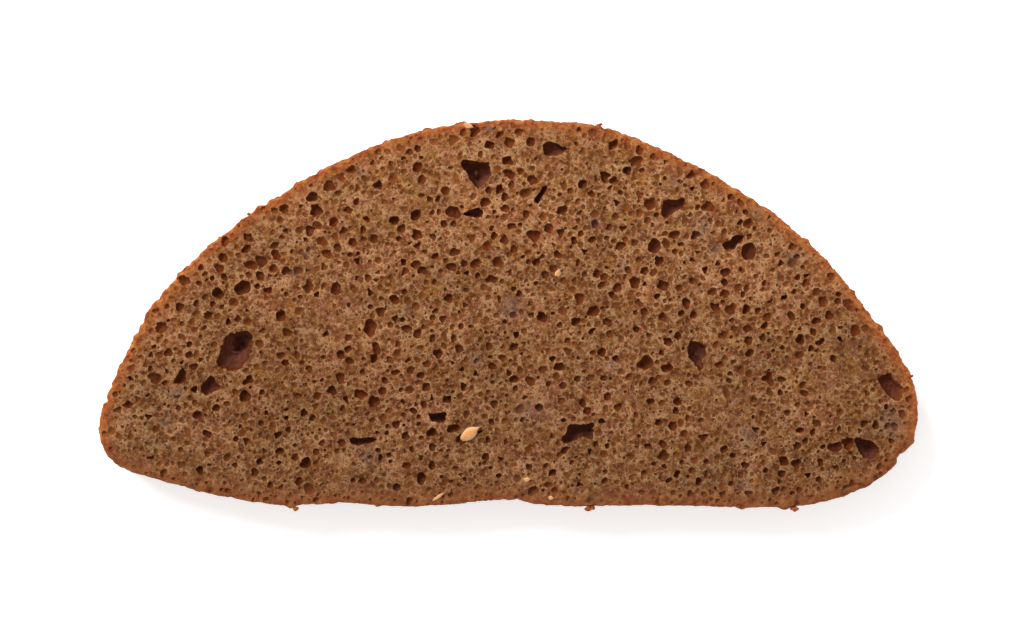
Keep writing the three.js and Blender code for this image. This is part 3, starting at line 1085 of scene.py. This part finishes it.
class BREAD_OT_husks(Operator):
    """Lays the husk flakes on the cut and sticks the crumbs to the crust"""

    bl_idname = "bread.husks"
    bl_label = "Husks and crumbs"

    def execute(self, context):
        look = context.scene.bread_husks
        if "rye_slice" not in bpy.data.objects:
            raise RuntimeError("Bake the slice first: its crumbs share its material")
        self.flakes(look)
        self.crumbs(bpy.data.objects["rye_slice"])
        return {"FINISHED"}

    def flakes(self, look):
        """Thin curled plates, pointed at both ends."""
        along, across = 13, 7  # points along a flake and across it
        clear = 0.04  # from the cut to the flake's low end
        points, faces, rims = [], [], []
        for index, (x, y, long, wide, turn, lift) in enumerate(FLAKES):
            u, v = np.meshgrid(np.linspace(-1, 1, along), np.linspace(-1, 1, across), indexing="ij")
            u, v = u.ravel(), v.ravel()
            flat_x = u * long / 2 + 0.12 * bumps(np.stack([u, v], 1), 0.5, index) * wide
            flat_y = v * wide / 2 * np.clip(1 - np.abs(u + 0.25) ** 1.6, 0.05, 1)
            height = THICKNESS + clear + lift * (u + 1) / 2 + 0.175 * wide * (1 - v * v)
            spot = (x * HALF_WIDTH, y * HALF_HEIGHT) + turned(flat_x, flat_y, math.radians(turn))
            start = sum(len(block) for block in points)
            for side in (height, height - look.thickness / MM):
                points.append(np.column_stack([spot, side]))
                rims.append(np.abs(v) ** 3)
            i, j = np.meshgrid(np.arange(along - 1), np.arange(across - 1), indexing="ij")
            first = (i * across + j).ravel() + start
            top = np.stack([first, first + across, first + across + 1, first + 1], 1)
            count = along * across
            faces += [top, top[:, ::-1] + count]
            grid = np.arange(count).reshape(along, across) + start
            loop = np.concatenate([grid[:, 0], grid[-1, 1:], grid[-2::-1, -1], grid[0, -2:0:-1]])
            after = np.roll(loop, -1)
            faces.append(np.stack([after, loop, loop + count, after + count], 1))
        mesh = build_mesh("husk_flakes", np.concatenate(points), faces, {"rim": np.concatenate(rims)})
        piece = show(mesh, husk_material(look), "husk_flakes")
        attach(piece, "root")

    def crumbs(self, slice_piece):
        """Small rough lumps that hold on to the crust."""
        made = bmesh.new()
        for index, (x, y, height, size) in enumerate(CRUMBS):
            wanted = Vector((x * HALF_WIDTH, y * HALF_HEIGHT, height)) * MM
            _, spot, outward, _ = slice_piece.closest_point_on_mesh(wanted)
            spot += outward * size * MM * 0.4
            lump = bmesh.ops.create_icosphere(made, subdivisions=4, radius=1)["verts"]
            ways = np.array([v.co for v in lump])
            swell = 1 + 0.3 * bumps(ways, 0.9, index) + 0.16 * bumps(ways, 0.4, index + 50)
            stretch = np.array([1.0, 0.8, 1.2]) * size * MM / 2
            for v, way, amount in zip(lump, ways, swell):
                v.co = spot + Vector(way * amount * stretch)
        mesh = bpy.data.meshes.new("crust_crumbs")
        made.to_mesh(mesh)
        made.free()
        golden = mesh.attributes.new("dome", "FLOAT", "POINT")
        golden.data.foreach_set("value", np.ones(len(mesh.vertices), np.float32))
        piece = show(mesh, slice_piece.data.materials[0], "crust_crumbs")
        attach(piece, "root")


class BREAD_OT_stage(Operator):
    """Sets the floor, the lights and the camera"""

    bl_idname = "bread.stage"
    bl_label = "Stage"

    def execute(self, context):
        look = context.scene.bread_stage
        self.floor(look)
        self.lights(context.scene, look)
        self.camera(context.scene, look)
        context.scene.view_settings.view_transform = "Standard"
        return {"FINISHED"}

    def floor(self, look):
        half = look.floor_size / 2 / MM
        corners = np.array([[-half, -half, 0], [half, -half, 0], [half, half, 0], [-half, half, 0]], float)
        sheet = Sheet("pale_board")
        place = sheet.node("ShaderNodeTexCoord", output="Object")
        mottle = sheet.noise(place, 0.4, 2)
        tint = sheet.scaled(look.floor_colour, 0.995 + mottle * 0.01)
        normal = sheet.node("ShaderNodeBump", None, {"Strength": 0.02, "Height": mottle}, "Normal")
        fixed = {"Emission Color": (1, 1, 1), "Emission Strength": look.floor_glow}
        mesh = build_mesh("floor", corners, [np.array([[0, 1, 2, 3]])])
        floor = show(mesh, sheet.surface(tint, 0.9 + mottle * 0.02, normal, **fixed), "floor")

    def lights(self, scene, look):
        lamp = bpy.data.lights.new("key", "SUN")
        lamp.energy = look.key_strength
        lamp.angle = look.key_spread
        key = bpy.data.objects.new("key", lamp)
        sunward = Vector((-0.62, 0.72, 1.0)).normalized()
        key.rotation_mode = "QUATERNION"
        key.rotation_quaternion = sunward.to_track_quat("Z", "Y")
        key.location = sunward
        scene.collection.objects.link(key)
        world = bpy.data.worlds.new("pale_room")
        world.use_nodes = True
        glow = world.node_tree.nodes["Background"]
        glow.inputs["Color"].default_value = (1, 1, 1, 1)
        glow.inputs["Strength"].default_value = look.fill_strength
        scene.world = world

    def camera(self, scene, look):
        lens = bpy.data.cameras.new("camera")
        lens.lens = look.lens
        lens.sensor_width = 36
        distance = look.view_width * look.lens / lens.sensor_width
        lens.clip_start, lens.clip_end = 0.05, distance * 4
        camera = bpy.data.objects.new("camera", lens)
        across, up = 0.0086, -0.031  # where the camera points, in shares of the half sizes
        height = 0.85 * THICKNESS * MM  # the height at which the view is as wide as it should be
        camera.location = (across * HALF_WIDTH * MM, up * HALF_HEIGHT * MM, distance + height)
        scene.collection.objects.link(camera)
        scene.camera = camera


class BREAD_PT_maker(Panel):
    """Lists the pieces that make the slice"""

    bl_label = "Rye bread slice"
    bl_space_type = "VIEW_3D"
    bl_region_type = "UI"
    bl_category = "Bread"

    def draw(self, context):
        for group, operator in (
            (context.scene.bread_slice, BREAD_OT_slice),
            (context.scene.bread_husks, BREAD_OT_husks),
            (context.scene.bread_stage, BREAD_OT_stage),
        ):
            box = self.layout.box()
            box.operator(operator.bl_idname)
            for name in group.bl_rna.properties.keys():
                if name not in ("rna_type", "name"):
                    box.prop(group, name)


GROUPS = {"bread_slice": BreadSliceSettings, "bread_husks": HuskSettings, "bread_stage": StageSettings}
CLASSES = (*GROUPS.values(), BREAD_OT_slice, BREAD_OT_husks, BREAD_OT_stage, BREAD_PT_maker)


def register():
    for made in CLASSES:
        bpy.utils.register_class(made)
    for name, group in GROUPS.items():
        setattr(bpy.types.Scene, name, PointerProperty(type=group))


def unregister():
    for name in GROUPS:
        delattr(bpy.types.Scene, name)
    for made in reversed(CLASSES):
        bpy.utils.unregister_class(made)


def main():
    register()
    bpy.ops.bread.slice()
    bpy.ops.bread.husks()
    bpy.ops.bread.stage()


if __name__ == "__main__":
    main()
